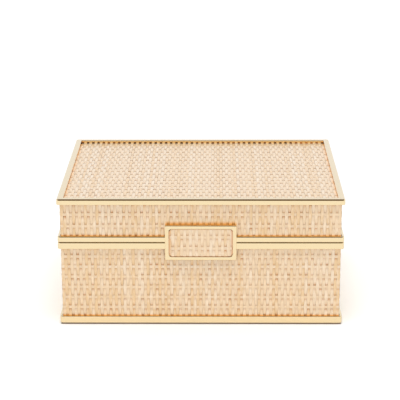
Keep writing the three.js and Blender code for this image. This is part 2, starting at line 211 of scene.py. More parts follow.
class CaneProperties(bpy.types.PropertyGroup):
    """Sizes and colours of the woven cane"""

    column_pitch: length("Splint pitch", "From one upright splint to the next", 2.62)
    splint_width: length("Splint width", "Width of an upright splint", 2.6)
    splint_thickness: length("Splint thickness", "Thickness of an upright splint", 0.35)
    band_width: length("Band width", "Width of a splint woven across", 2.7)
    band_thickness: length("Band thickness", "Thickness of a splint woven across", 0.36)
    over_height: length("Over", "Top of a splint over a band, from the board", 1.4)
    under_height: length("Under", "Top of a splint under a band, from the board", 0.62)
    band_low: length("Band held down", "Top of a band under a splint", 0.98)
    band_high: length("Band free", "Top of a band over a splint", 1.2)
    pit_place: length("Pit", "From a band's middle to the pit where a splint dives", 1.95)
    pit_reach: length("Pit reach", "From the pit's middle to its edge, along the splint", 1.2)
    pit_pinch: share("Pinch", "How much narrower a splint is squeezed in its pit", 0.35)
    splay: share("Splay", "How much wider a splint lies where it is over a band", 0.22)
    end_level: share("Level ends", "How much a wall's splints swing at their cut ends", 0.35)
    end_level_reach: length("Level reach", "How far from its end a splint swings less", 3.0)
    corner_calm: length("Calm corner", "How near a wall's corner the splints swing less", 4.0)
    corner_radius: length("Corner radius", "Outer radius where the cane turns a corner", 1.6)
    # Painted glow: light reflected off the brass, painted orange onto the cane beside the rails,
    # the lift plate and the frame, and how far it reaches from each
    painted_glow_strength: share("Stain by the brass", "How deep the varnish's stain is there", 1.0)
    rail_glow_reach: length("Rail stain reach", "How far the stain reaches over a rail", 0.8)
    plate_glow_reach: length("Plate stain reach", "How far it reaches over the plate", 1.4)
    frame_glow_reach: length("Frame stain reach", "How far it reaches in from the frame", 0.3)
    # Painted shade along the inlay's cut edges, for the gap round the inlay, and how far it reaches
    cut_edge_shade: number("Cut stain", "How brown the inlay's edges are: 1 is unbleached", 1.5)
    cut_shade_reach: length("Cut stain reach", "How far the brown reaches in from them", 0.3)
    # How far the painted shadow of the holes reaches in from the top's back edge
    hole_shadow_depth: length("Holes", "How far the holes at the top's back edge reach", 1.8)
    base_row: length("First base row", "Height of a band's middle on the base", 64.0)
    base_row_pitch: length("Base row pitch", "From one band to the next on the base", 9.62)
    lid_row: length("First lid row", "Height of a band's middle on the lid", 81.8)
    lid_row_pitch: length("Lid row pitch", "From one band to the next on the lid", 10.7)
    top_row: length("First top row", "Place of the front band's middle on the top", -89.0)
    top_row_pitch: length("Top row pitch", "From one band to the next on the top", 9.6)
    top_fit: length("Top fit", "How much further than its sheet the top's weave reaches", 0.13)
    top_flatness: share("Flat top", "How much the top swings, against the walls", 0.42)
    # How much painted pit shade the top gets, against the walls
    top_browns: share("Top pits", "How brown the top's pits are, against the walls'", 0.9)
    inlay_row: length("First inlay row", "Height of a band's middle on the inlay", 73.2)
    inlay_row_pitch: length("Inlay row pitch", "From one band to the next on the inlay", 10.4)
    inlay_corner: length("Inlay corner", "Radius of the inlay's corners", 2.75)
    wander: length("Wander", "How far splints and bands stray from a straight line", 0.2)
    smooth_angle: angle("Smooth angle", "Edges sharper than this stay crisp", 40)
    seed: IntProperty(name="Seed", description="Start of the random tints and widths", default=7)
    pale: colour("Pale splints", "The lightest splints", "F2DABB")
    straw: colour("Straw splints", "Most of the splints", "F0D2AB")
    golden: colour("Golden splints", "The deepest splints", "EDC896")
    # Painted shade in the pits where a splint dives under a band
    painted_pit_shade: colour("Unbleached", "What bleaching didn't reach, where a splint dives", "CC8036")
    # Painted glow of light reflected off the brass onto the cane beside it
    painted_brass_glow: colour("Stained", "Where varnish has gathered beside the brass", "FFB34E")
    # Painted shadow in the holes under the splints' ends at the top's back edge
    hole_shadow: colour("Hole", "The dark under a splint's end by the frame", "3A1C08")


class BrassProperties(bpy.types.PropertyGroup):
    """Colours and finish of the brass"""

    polished: colour("Polished brass", "Rails, frame and lift plate", "F6DFB1")
    satin: colour("Satin brass", "Hinges and screws", "E8CB8C")
    polished_roughness: share("Polish", "Roughness of the rails", 0.1)
    satin_roughness: share("Satin", "Roughness of the hinges", 0.26)
    smooth_angle: angle("Smooth angle", "Edges sharper than this stay crisp", 32)


class LiningProperties(bpy.types.PropertyGroup):
    """Sizes and colours of the lining, the felt and the boards"""

    pull_in: length("Pull in", "How far a pad's sides draw in between its corners", 0.5)
    smooth_angle: angle("Smooth angle", "Edges sharper than this stay crisp", 50)
    suede: colour("Suede", "Napped suede cloth", "E9DCC8")
    felt: colour("Felt", "Pressed wool felt", "8A7560")
    board: colour("Board", "Sawn fibreboard", "B89468")


class StageProperties(bpy.types.PropertyGroup):
    """Camera, floor and light"""

    camera_place: FloatVectorProperty(
        name="Camera",
        description="Where the camera stands",
        default=(12 * MM, -1340 * MM, 505.5 * MM),
        subtype="XYZ",
        unit="LENGTH",
    )
    focal_length: number("Focal length", "In millimetres", 133.0)
    pan: angle("Pan", "Turn to the left", 0.58)
    tilt: angle("Tilt", "Turn down", 17.4)
    roll: angle("Roll", "Turn clockwise", 0.16)
    floor_reach: length("Floor", "Half the floor's length", 6000)
    fill_light: number("Fill", "Light from all round", 0.8)
    key_light: number("Key", "Light from the lamp in front", 0.25)
    key_height: angle("Key height", "Above the horizon", 14)
    key_side: angle("Key side", "To the left of the front", 20)
    top_light: number("Top", "Light from the lamp above", 1.1)
    top_height: angle("Top height", "Above the horizon", 78)
    lamp_spread: angle("Spread", "How wide the lamps look from the box", 30)
    floor_seen: number("Floor seen", "How much whiter the camera sees the floor", 1.1)
    floor_mirrored: number("Floor mirrored", "How much whiter the brass sees the floor", 0.98)
    bounced_light: number("Bounced light", "Light that reaches the cane by way of the brass", 1.6)
    cove_front: number("Cove in front", "Height of the white cove in front, as a sine", 0.04)
    cove_sides: number("Cove elsewhere", "Its height at the sides and behind", 0.6)
    cove_fade: number("Cove fade", "From its full white to the dark ceiling", 0.25)
    front_far: number("Front", "Y of a direction that is wholly in front", -0.7)
    front_near: number("Front edge", "Y of a direction that is no longer in front", -0.3)
    floor: colour("Floor", "White paper", "F4F4F4")
    cove: colour("Cove", "What the brass sees low down all round", "F5F5F5")
    ceiling: colour("Ceiling", "What the brass sees above and behind the camera", "5E4618")


def add_node(tree, kind, inputs=None, **settings):
    """Adds one node. Each input is set to a value, or linked from another node's output."""
    node = tree.nodes.new(kind)
    for name, value in settings.items():
        setattr(node, name, value)
    for name, value in (inputs or {}).items():
        if isinstance(value, bpy.types.NodeSocket):
            tree.links.new(value, node.inputs[name])
        else:
            node.inputs[name].default_value = value
    return node


def start_material(name):
    """An empty material, and its node tree."""
    material = bpy.data.materials.new(name)
    material.use_nodes = True
    material.node_tree.nodes.clear()
    return material, material.node_tree


def finish_surface(tree, shader):
    add_node(tree, "ShaderNodeOutputMaterial", {"Surface": shader.outputs[0]})


def lay_over(tree, body, layers):
    """Lays colours over a colour, each as far as its factor says."""
    for factor, layer in layers:
        mix = add_node(tree, "ShaderNodeMix", {0: factor, 6: body, 7: layer}, data_type="RGBA")
        body = mix.outputs[2]
    return body


def vary(tree, body, texture, darkest, lightest):
    """Multiplies a colour by a noise texture, between two gains."""
    gain = add_node(
        tree,
        "ShaderNodeMapRange",
        {
            "Value": texture.outputs["Fac"],
            "From Min": NOISE_LOW,
            "From Max": NOISE_HIGH,
            "To Min": darkest,
            "To Max": lightest,
        },
    )
    product = add_node(
        tree,
        "ShaderNodeMix",
        {0: 1.0, 6: body, 7: gain.outputs[0]},
        data_type="RGBA",
        blend_type="MULTIPLY",
    )
    return product.outputs[2]


def cane_material(cane):
    """Rattan rind, split, woven and bleached: pale straw with fine fibres along each splint.

    The rind keeps its natural waxy gloss, which whitens it where it is seen at a low angle. Tints
    differ a little from splint to splint. Painted shade browns a splint where it dives under a
    band and darkens the inlay's cut edges, the holes at the top's back edge get a painted shadow,
    and a painted orange glow of light reflected off the brass lies on the cane beside it.
    """
    material, tree = start_material("woven_natural_cane")
    splint, tint, pit, painted_light = (
        add_node(tree, "ShaderNodeAttribute", attribute_name=layer)
        for layer in ("splint", "tint", "pit", "painted_light")
    )
    fibre_place, blotch_place = (
        add_node(
            tree,
            "ShaderNodeVectorMath",
            {0: splint.outputs["Vector"], 1: (1 / wide, 1 / long, 1)},
            operation="MULTIPLY",
        )
        for wide, long in (FIBRE_SIZE, BLOTCH_SIZE)
    )
    fibre = add_node(
        tree,
        "ShaderNodeTexNoise",
        {"Vector": fibre_place.outputs[0], "Scale": 1, "Detail": 2, "Roughness": 0.6},
    )
    blotch = add_node(
        tree, "ShaderNodeTexNoise", {"Vector": blotch_place.outputs[0], "Scale": 1, "Detail": 1}
    )
    tone = add_node(
        tree,
        "ShaderNodeMath",
        {0: blotch.outputs["Fac"], 1: BLOTCH_WEIGHT, 2: tint.outputs["Fac"]},
        operation="MULTIPLY_ADD",
    )
    straw, pale = (
        add_node(
            tree,
            "ShaderNodeMapRange",
            {"Value": tone.outputs[0], "From Min": start, "From Max": whole},
            interpolation_type="SMOOTHSTEP",
        )
        for start, whole in (STRAW_TONES, PALE_TONES)
    )
    tints = [(straw.outputs[0], tuple(cane.straw)), (pale.outputs[0], tuple(cane.pale))]
    body = lay_over(tree, tuple(cane.golden), tints)
    body = vary(tree, body, fibre, darkest=0.94, lightest=1.03)
    body = vary(tree, body, blotch, darkest=0.95, lightest=1.03)

    # A pit of 1 is the full painted pit shade, and from there to 2 it turns into the painted hole
    # shadow
    past_brown = add_node(
        tree, "ShaderNodeMath", {0: pit.outputs["Fac"], 1: 1.0}, operation="SUBTRACT"
    )
    # Painted glow beside the brass, painted pit shade and painted hole shadow, laid over the
    # splints' own colour
    painted_marks = [
        (painted_light.outputs["Fac"], tuple(cane.painted_brass_glow)),
        (pit.outputs["Fac"], tuple(cane.painted_pit_shade)),
        (past_brown.outputs[0], tuple(cane.hole_shadow)),
    ]
    relief = add_node(
        tree,
        "ShaderNodeBump",
        {"Height": fibre.outputs["Fac"], "Strength": 0.25, "Distance": 0.06 * MM},
    )
    shader = add_node(
        tree,
        "ShaderNodeBsdfPrincipled",
        {
            "Base Color": lay_over(tree, body, painted_marks),
            "Roughness": 0.4,
            "IOR": 1.5,
            "Coat Weight": 1.0,
            "Coat IOR": 1.62,
            "Coat Roughness": 0.22,
            "Normal": relief.outputs[0],
        },
    )
    finish_surface(tree, shader)
    return material


def brass_material(name, brass_colour, roughness, grain):
    """Brass, buffed after rolling and lacquered: mirror bright, with hairlines and a faint haze."""
    material, tree = start_material(name)
    place = add_node(tree, "ShaderNodeTexCoord").outputs["Object"]
    haze = add_node(
        tree, "ShaderNodeTexNoise", {"Vector": place, "Scale": 1 / HAZE_SIZE, "Detail": 3}
    )
    lines = add_node(
        tree,
        "ShaderNodeTexNoise",
        {"Vector": place, "Scale": 1 / grain, "Detail": 2, "Roughness": 0.7},
    )
    smoothest, roughest = (roughness * part for part in HAZE_SHARES)
    dulled = add_node(
        tree,
        "ShaderNodeMapRange",
        {
            "Value": haze.outputs["Fac"],
            "From Min": 0.35,
            "From Max": 0.7,
            "To Min": smoothest,
            "To Max": roughest,
        },
    )
    relief = add_node(
        tree,
        "ShaderNodeBump",
        {"Height": lines.outputs["Fac"], "Strength": 0.12, "Distance": 0.01 * MM},
    )
    shader = add_node(
        tree,
        "ShaderNodeBsdfPrincipled",
        {
            "Base Color": tuple(brass_colour),
            "Metallic": 1.0,
            "Roughness": dulled.outputs[0],
            "Coat Weight": 1.0,
            "Coat Roughness": 0.08,
            "Normal": relief.outputs[0],
        },
    )
    finish_surface(tree, shader)
    return material


def napped_material(name, cloth_colour, fibre, sheen, relief_depth):
    """Suede cloth or felt: short raised fibres, so it is matt, soft-edged and a little uneven."""
    material, tree = start_material(name)
    place = add_node(tree, "ShaderNodeTexCoord").outputs["Object"]
    nap = add_node(
        tree,
        "ShaderNodeTexNoise",
        {"Vector": place, "Scale": 1 / fibre, "Detail": 4, "Roughness": 0.7},
    )
    brushed = add_node(
        tree, "ShaderNodeTexNoise", {"Vector": place, "Scale": 1 / BRUSH_SIZE, "Detail": 2}
    )
    body = vary(tree, tuple(cloth_colour), brushed, darkest=0.95, lightest=1.03)
    body = vary(tree, body, nap, darkest=0.88, lightest=1.06)
    relief = add_node(
        tree,
        "ShaderNodeBump",
        {"Height": nap.outputs["Fac"], "Strength": 0.5, "Distance": relief_depth},
    )
    shader = add_node(
        tree,
        "ShaderNodeBsdfPrincipled",
        {
            "Base Color": body,
            "Roughness": 0.95,
            "Sheen Weight": sheen,
            "Sheen Roughness": 0.4,
            "Normal": relief.outputs[0],
        },
    )
    finish_surface(tree, shader)
    return material


def board_material(lining):
    """Fibreboard, sawn: matt brown, flecked with fibres about a millimetre long."""
    material, tree = start_material("sawn_fibreboard")
    place = add_node(tree, "ShaderNodeTexCoord").outputs["Object"]
    fleck = add_node(
        tree,
        "ShaderNodeTexNoise",
        {"Vector": place, "Scale": 1 / FLECK_SIZE, "Detail": 4, "Roughness": 0.65},
    )
    relief = add_node(
        tree,
        "ShaderNodeBump",
        {"Height": fleck.outputs["Fac"], "Strength": 0.4, "Distance": 0.1 * MM},
    )
    shader = add_node(
        tree,
        "ShaderNodeBsdfPrincipled",
        {
            "Base Color": vary(tree, tuple(lining.board), fleck, darkest=0.8, lightest=1.15),
            "Roughness": 0.85,
            "Normal": relief.outputs[0],
        },
    )
    finish_surface(tree, shader)
    return material


def add_piece(name, bm, material, body, nodes):
    """Makes an object of a finished mesh. It rides on a body and stands for the nodes named."""
    mesh = bpy.data.meshes.new(name)
    bm.to_mesh(mesh)
    bm.free()
    mesh.materials.append(material)
    piece = bpy.data.objects.new(name, mesh)
    bpy.context.scene.collection.objects.link(piece)
    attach(piece, body)
    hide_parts(*nodes)
    return piece


def rise(start, far):
    """A value that goes from start, where far is 0, up to 1, where far is 1 or more."""
    return start + (1 - start) * min(1.0, max(0.0, far))


def splint_bar(steps):
    """A straight splint along Z from 0 to 1, its X in half widths and its Y in thicknesses."""
    sides = len(SPLINT_SECTION_SHARES)
    bm = bmesh.new()
    bmesh.ops.create_cone(bm, cap_ends=True, segments=sides, radius1=1, radius2=1, depth=1)
    for vert in bm.verts:
        turn = math.atan2(vert.co.x, vert.co.y) / math.tau
        across, depth = SPLINT_SECTION_SHARES[round(turn * sides) % sides]
        vert.co = (across, depth, vert.co.z + 0.5)
    along = [edge for edge in bm.edges if abs(edge.verts[0].co.z - edge.verts[1].co.z) > 0.5]
    bmesh.ops.subdivide_edges(bm, edges=along, cuts=steps - 1)
    mesh = bpy.data.meshes.new("splint_bar")
    bm.to_mesh(mesh)
    bm.free()
    return mesh


class Panel:
    """A woven panel, flat or turned round corners.

    Its splints run along it and its bands run across it. place turns across, along and height
    over the board into a point. Each ledge is a brass edge that crosses the splints: its half
    width, its place along them and how far its painted glow of reflected light reaches. A panel
    that turns swings less at its corners and its cut ends, and a framed one gets that painted glow
    along its sides.
    """

    def __init__(self, cane, place, width, low, high, rows):
        self.cane = cane
        self.place = place
        self.width = width
        self.low = low
        self.high = high
        self.rows = rows
        self.row_pitch = rows[1] - rows[0]
        self.columns = round(width / cane.column_pitch)
        self.pitch = width / self.columns
        self.first_column = 0
        self.corner = 0.0
        self.turns = False
        self.flatness = 1.0
        self.brown = 1.0
        self.cut_edge_shade = 0.0
        self.ledges = []
        self.framed = False
        self.hole_shadow_depth = 0.0

    def find_stations(self):
        """Where a splint's rings of points lie along it: closest beside each band and painted mark.
        """
        cane = self.cane
        pit = (cane.pit_place - cane.pit_reach, cane.pit_place, cane.pit_place + cane.pit_reach)
        steps = [0, *pit, self.row_pitch / 2, *(self.row_pitch - step for step in reversed(pit))]
        first_row = self.rows[0] - self.row_pitch
        places = [
            first_row + row * self.row_pitch + step
            for row in range(len(self.rows) + 1)
            for step in steps
        ]
        if self.cut_edge_shade > 0:
            for part in PAINTED_STEP_SHARES:
                inward = cane.cut_shade_reach * part
                places += [self.low + inward, self.high - inward]
        for _, ledge, reach in self.ledges:
            places += [ledge + reach * part for part in (0, *PAINTED_STEP_SHARES)]
        if self.hole_shadow_depth > 0:
            places += [self.high - self.hole_shadow_depth * part for part in (1, HOLE_RING_SHARE)]
        stations = [self.low]
        for place in sorted(places):
            if stations[-1] + RING_GAP < place < self.high - RING_GAP:
                stations.append(place)
        return [*stations, self.high]

    def over(self, column, along):
        """How far a splint is over the bands, from -1 to 1, at a place along it.

        Flat cane bends close to the band that it crosses and runs level in between. By the holes
        at the far end it keeps the level that it has at the last band.
        """
        if self.hole_shadow_depth > 0:
            along = min(along, self.rows[-1])
        swing = math.cos(math.pi * ((along - self.rows[0]) / self.row_pitch + column))
        over = math.copysign(abs(swing) ** BEND_POWER, swing)
        if self.turns:
            over *= rise(self.cane.end_level, self.from_end(along) / self.cane.end_level_reach)
        return over

    def from_end(self, along):
        """How far a place is from the nearer end of the splints."""
        return min(self.high - along, along - self.low)

    def pit(self, along, dives):
        """How deep in a pit a splint is, from 0 to 1, for its pinch and painted shade. Each side of
        a row has its own depth.
        """
        place = (along - self.rows[0]) / self.row_pitch
        row = round(place)
        from_band = abs(place - row) * self.row_pitch
        beside = (from_band - self.cane.pit_place) / self.cane.pit_reach
        side = 1 if place > row else 0
        return dives[2 * (row + 1) + side] * math.exp(-PIT_FADE * beside * beside)

    def cut(self, across, along):
        """How much painted shade a splint gets by the panel's cut edges, as a pit's depth."""
        beside = self.width / 2 - abs(across)
        end = self.from_end(along)
        inward = min(end - self.trim(beside), beside - self.trim(end))
        return self.cut_edge_shade * math.exp(-((inward / self.cane.cut_shade_reach) ** 2))

    def painted_glow_strength(self, across, along):
        """How strong the painted glow of light reflected off the brass is beside it."""
        distances = [
            (along - ledge) / reach for half, ledge, reach in self.ledges if abs(across) < half
        ]
        if self.framed:
            distances.append((self.width / 2 - abs(across)) / self.cane.frame_glow_reach)
        return max((self.cane.painted_glow_strength * math.exp(-far * far) for far in distances), default=0.0)

    def hole_shadow(self, middle, column):
        """How dark the painted shadow of the hole at a splint's far end is, or 0 where there is
        none.
        """
        if self.hole_shadow_depth == 0 or (column + len(self.rows)) % 2 == 1:
            return 0.0
        patch = noise.noise(Vector((middle / HOLE_PATCH, 0, HOLE_SLICE)))
        return HOLE_DARKNESS + HOLE_VARIATION * patch

    def calm(self, across):
        """How much a splint swings, less where it turns a wall's corner."""
        if not self.turns:
            return self.flatness
        return rise(CORNER_SWING_SHARE, (self.width / 2 - abs(across)) / self.cane.corner_calm)

    def stray(self, across, along, piece):
        """A slow wander, the same for neighbours."""
        at = Vector((across / WANDER_LENGTH, along / WANDER_LENGTH, piece + self.first_column))
        return self.cane.wander * noise.noise(at)

    def trim(self, distance):
        """How much a rounded corner takes off at a distance from the panel's edge."""
        if distance >= self.corner:
            return 0.0
        inward = self.corner - max(distance, 0.0)
        return self.corner - math.sqrt(self.corner ** 2 - inward ** 2)

    def weave(self, bm):
        """Adds every splint and band of the panel to the mesh."""
        rng = random.Random(self.cane.seed + self.first_column)
        splint = bm.verts.layers.float_vector.new("splint")
        layers = (splint, *(bm.verts.layers.float.new(name) for name in ("tint", "pit", "painted_light")))
        stations = self.find_stations()
        upright = splint_bar(len(stations) - 1)
        for column in range(self.columns):
            self.add_upright(bm, upright, stations, column, rng, layers)
        level = splint_bar(2 * self.columns)
        for row, middle in enumerate(self.rows):
            self.add_band(bm, level, row, middle, rng, layers)
        bpy.data.meshes.remove(upright)
        bpy.data.meshes.remove(level)

    def add_upright(self, bm, bar, stations, column, rng, layers):
        """Adds a splint that runs along the panel. An outermost one ends at the panel's side."""
        cane = self.cane
        splint, tint, pit, painted_light = layers
        shift = rng.uniform(-SPLINT_SHIFT, SPLINT_SHIFT)
        middle = (column + 0.5) * self.pitch - self.width / 2 + shift
        half = cane.splint_width / 2 * rng.uniform(NARROWEST_SPLINT_SHARE, 1.0)
        lift = rng.uniform(-SPLINT_LIFT, SPLINT_LIFT)
        shade = rng.random()
        start = rng.uniform(*FIBRE_STARTS)
        level = (cane.over_height + cane.under_height) / 2 + lift
        calm = self.calm(middle)
        swing = (cane.over_height - cane.under_height) / 2 * calm
        outer = {0: 1, self.columns - 1: -1}.get(column)
        column += self.first_column
        brown = self.brown * rng.uniform(*SPLINT_BROWNS)
        dives = [
            brown * rng.uniform(*PIT_BROWNS) if (row + column) % 2 == 1 else 0.0
            for row in range(-1, len(self.rows) + 1)
            for _ in range(2)
        ]
        hole_shadow = self.hole_shadow(middle, column)
        for vert in add_bar(bm, bar):
            station = stations[round(vert.co.z * (len(stations) - 1))]
            beside = vert.co.x
            depth = vert.co.y
            across = middle - beside * half
            if outer == round(beside, 3):
                across = math.copysign(self.width / 2, across)
                depth = 0.0
            trim = self.trim(self.width / 2 - abs(across))
            reached = (station - self.low) / (self.high - self.low)
            along = self.low + trim + reached * (self.high - self.low - 2 * trim)
            over = self.over(column, along)
            dive = self.pit(along, dives)
            end_shade = self.cut(across, along)
            # The painted hole shadow at the far end takes the place of the painted cut-edge shade
            if hole_shadow > 0 and along > self.high - HOLE_DARK_SHARE * self.hole_shadow_depth:
                end_shade = hole_shadow
            if outer is None:
                splay = cane.splay * calm * max(0.0, over)
                across = middle - beside * half * (1 + splay - cane.pit_pinch * dive)
            height = level + swing * over + depth * cane.splint_thickness
            vert[splint] = (-beside * half / MM, along / MM, start)
            vert[tint] = shade
            # Painted shade in the pits, at the cut edges and in the holes
            vert[pit] = max(dive, end_shade)
            # Painted glow of light reflected off the brass
            vert[painted_light] = self.painted_glow_strength(across, along)
            inward = rise(0.0, (self.width / 2 - abs(across)) / WANDER_MARGIN)
            across += inward * self.stray(across, along, UPRIGHT_SLICE)
            vert.co = self.place(across, along, height)

    def add_band(self, bm, bar, row, middle, rng, layers):
        """Adds a band that runs across the panel, cut to the panel's ends."""
        cane = self.cane
        splint, tint, pit, painted_light = layers
        half = cane.band_width / 2 * rng.uniform(NARROWEST_BAND_SHARE, 1.0)
        shade = rng.uniform(*BAND_TINTS)
        start = rng.uniform(*FIBRE_STARTS)
        level = (cane.band_high + cane.band_low) / 2
        swing = (cane.band_high - cane.band_low) / 2
        for vert in add_bar(bm, bar):
            along = min(self.high, max(self.low, middle + vert.co.x * half))
            end = self.from_end(along)
            across = (vert.co.z - 0.5) * (self.width - 2 * self.trim(end))
            column = (across + self.width / 2) / self.pitch - 0.5
            held = math.cos(math.pi * (column + self.first_column + row))
            height = level - swing * held + vert.co.y * cane.band_thickness
            vert[splint] = (vert.co.x * half / MM, across / MM, start)
            vert[tint] = shade
            # Painted shade at the cut edges
            vert[pit] = self.cut(across, along)
            # Painted glow of light reflected off the brass
            vert[painted_light] = self.painted_glow_strength(across, along)
            shift = self.stray(across, middle, row + BAND_SLICE) if end > 0 else 0.0
            along = min(self.high, max(self.low, along + shift))
            vert.co = self.place(across, along, height)


def add_bar(bm, bar):
    """Copies a straight splint into the mesh, and returns its points."""
    before = len(bm.verts)
    bm.from_mesh(bar)
    bm.verts.ensure_lookup_table()
    return bm.verts[before:]


def rows_between(start, pitch, low, high, band_width):
    """The number of the first band, and the bands' middles from low to high."""
    first = math.ceil((low - band_width / 2 - start) / pitch)
    last = math.floor((high + band_width / 2 - start) / pitch)
    return first, [start + row * pitch for row in range(first, last + 1)]


def wall_placer(cane, outward, half, reach, thickness):
    """Places a wall's points. Past the flat stretch they turn halfway round the corner."""
    right = UP.cross(outward)
    flat = half - cane.corner_radius
    turn_radius = cane.corner_radius - thickness / 2
    inner = cane.corner_radius - thickness

    def place(across, along, height):
        beyond = abs(across) - flat
        if beyond <= 0:
            return right * across + outward * (reach - thickness + height) + UP * along
        turn = min(beyond / turn_radius, math.pi / 4)
        radius = inner + height
        sideways = math.copysign(flat + radius * math.sin(turn), across)
        out = reach - cane.corner_radius + radius * math.cos(turn)
        return right * sideways + outward * out + UP * along

    return place, 2 * (flat + turn_radius * math.pi / 4)


def smooth_mesh(piece, sharp_from):
    """Shades a piece smooth, apart from edges sharper than an angle."""
    piece.data.shade_smooth()
    piece.data.set_sharp_from_angle(angle=sharp_from)


def add_woven(name, panel, body, node):
    """Weaves a panel, and makes a piece of it that stands for a node."""
    bm = bmesh.new()
    panel.weave(bm)
    material = bpy.data.materials.get("woven_natural_cane") or cane_material(panel.cane)
    piece = add_piece(name, bm, material, body, [node])
    smooth_mesh(piece, panel.cane.smooth_angle)


def node_copy(node):
    """A node's mesh with its doubles merged and its flat faces whole."""
    bm = bmesh.new()
    bm.from_mesh(frame["nodes"][node].data)
    bmesh.ops.remove_doubles(bm, verts=bm.verts, dist=DOUBLES_REACH)
    bmesh.ops.dissolve_limit(
        bm, angle_limit=FLAT_ANGLE, verts=bm.verts, edges=bm.edges, use_dissolve_boundaries=False
    )
    return bm


def add_brass(name, node, material, body, sharp_from):
    """Makes a brass piece of a node. Its rounded edges are smooth and its flat faces flat."""
    piece = add_piece(name, node_copy(node), material, body, [node])
    smooth_mesh(piece, sharp_from)
    flatten = piece.modifiers.new("Flat faces stay flat", "WEIGHTED_NORMAL")
    flatten.keep_sharp = True


class CANEBOX_OT_weave_walls(bpy.types.Operator):
    """Weave the cane of the base's and the lid's walls"""

    bl_idname = "cane_box.weave_walls"
    bl_label = "Weave walls"

    def execute(self, context):
        cane = context.scene.cane_box_cane
        rows = {
            "base": (cane.base_row, cane.base_row_pitch),
            "lid": (cane.lid_row, cane.lid_row_pitch),
        }
        rails = {"base": "foot_rim", "lid": "lid_rim"}
        for half_name, (start, pitch) in rows.items():
            first_column = 0
            for side in SIDES:
                node = f"{half_name}_cane_{side}"
                low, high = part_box(node)
                outward = OUTWARD[side]
                half = high.y if outward.x else high.x
                reach = max(abs(low.dot(outward)), abs(high.dot(outward)))
                thickness = abs((high - low).dot(outward))
                place, width = wall_placer(cane, outward, half, reach, thickness)
                first_row, middles = rows_between(start, pitch, low.z, high.z, cane.band_width)
                panel = Panel(cane, place, width, low.z, high.z, middles)
                panel.first_column = first_column + first_row
                panel.turns = True
                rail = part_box(f"{rails[half_name]}_{side}")[1]
                panel.ledges.append((width, rail.z, cane.rail_glow_reach))
                if node == "lid_cane_front":
                    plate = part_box("lift_plate")[1]
                    panel.ledges.append((plate.x, plate.z, cane.plate_glow_reach))
                add_woven(f"woven_{half_name}_{side}", panel, half_name, node)
                first_column += panel.columns
        return {"FINISHED"}


class CANEBOX_OT_weave_top(bpy.types.Operator):
    """Weave the panel let into the lid's frame"""

    bl_idname = "cane_box.weave_top"
    bl_label = "Weave top"

    def execute(self, context):
        cane = context.scene.cane_box_cane
        low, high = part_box("lid_top_cane")

        def place(across, along, height):
            return Vector((across, along, low.z + height))

        _, rows = rows_between(cane.top_row, cane.top_row_pitch, low.y, high.y, cane.band_width)
        width = high.x - low.x + 2 * cane.top_fit
        panel = Panel(cane, place, width, low.y - cane.top_fit, high.y + cane.top_fit, rows)
        panel.flatness = cane.top_flatness
        panel.brown = cane.top_browns
        panel.hole_shadow_depth = cane.hole_shadow_depth
        panel.framed = True
        add_woven("woven_top", panel, "lid", "lid_top_cane")
        return {"FINISHED"}


class CANEBOX_OT_weave_inlay(bpy.types.Operator):
    """Weave the inlay of the lift plate"""

    bl_idname = "cane_box.weave_inlay"
    bl_label = "Weave inlay"

    def execute(self, context):
        cane = context.scene.cane_box_cane
        low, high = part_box("lift_plate_cane")

        def place(across, along, height):
            return Vector((across, high.y - height, along))

        _, rows = rows_between(
            cane.inlay_row, cane.inlay_row_pitch, low.z, high.z, cane.band_width
        )
        panel = Panel(cane, place, high.x - low.x, low.z, high.z, rows)
        panel.corner = cane.inlay_corner
        panel.cut_edge_shade = cane.cut_edge_shade
        add_woven("woven_inlay", panel, "lid", "lift_plate_cane")
        return {"FINISHED"}


class CANEBOX_OT_polish_brass(bpy.types.Operator):
    """Polish the rails, the frame and the lift plate"""

    bl_idname = "cane_box.polish_brass"
    bl_label = "Polish brass"

    def execute(self, context):
        brass = context.scene.cane_box_brass
        material = brass_material(
            "polished_brass", brass.polished, brass.polished_roughness, grain=0.3 * MM
        )
        rails = {"foot_rim": "base", "base_rim": "base", "lid_rim": "lid", "top_frame": "lid"}
        nodes = [(f"{rail}_{side}", body) for rail, body in rails.items() for side in SIDES]
        for node, body in [*nodes, ("lift_plate", "lid"), ("lift_plate_block", "lid")]:
            add_brass(f"polished_{node}", node, material, body, brass.smooth_angle)
        return {"FINISHED"}


class CANEBOX_OT_fit_hinges(bpy.types.Operator):
    """Finish the hinges and the screws in satin brass"""

    bl_idname = "cane_box.fit_hinges"
    bl_label = "Fit hinges"

    def execute(self, context):
        brass = context.scene.cane_box_brass
        material = brass_material(
            "satin_brass", brass.satin, brass.satin_roughness, grain=0.15 * MM
        )
        for body, members in frame["record"]["behaviour"]["bodies"].items():
            for node in members:
                if node.startswith(("hinge_", "lift_plate_screw")):
                    name = f"satin_{node}"
                    add_brass(name, node, material, body, brass.smooth_angle)
        return {"FINISHED"}


class CANEBOX_OT_line_inside(bpy.types.Operator):
    """Line the inside with suede, and put felt under the floor"""

    bl_idname = "cane_box.line_inside"
    bl_label = "Line inside"

    def execute(self, context):
        lining = context.scene.cane_box_lining
        suede = napped_material(
            "suede_cloth", lining.suede, fibre=0.35 * MM, sheen=0.35, relief_depth=0.08 * MM
        )
        felt = napped_material(
            "pressed_felt", lining.felt, fibre=0.6 * MM, sheen=0.2, relief_depth=0.15 * MM
        )
        for node, body, up in (("base_floor_pad", "base", 1), ("lid_top_pad", "lid", -1)):
            pad = crowned_pad(node, lining, up)
            piece = add_piece(f"suede_{node}", pad, suede, body, [node])
            smooth_mesh(piece, lining.smooth_angle)
        for node, body in (("base_wall_lining", "base"), ("lid_wall_lining", "lid")):
            add_piece(f"suede_{node}", node_copy(node), suede, body, [node])
        node = "base_felt_pad"
        add_piece("pressed_felt_pad", node_copy(node), felt, "base", [node])
        return {"FINISHED"}


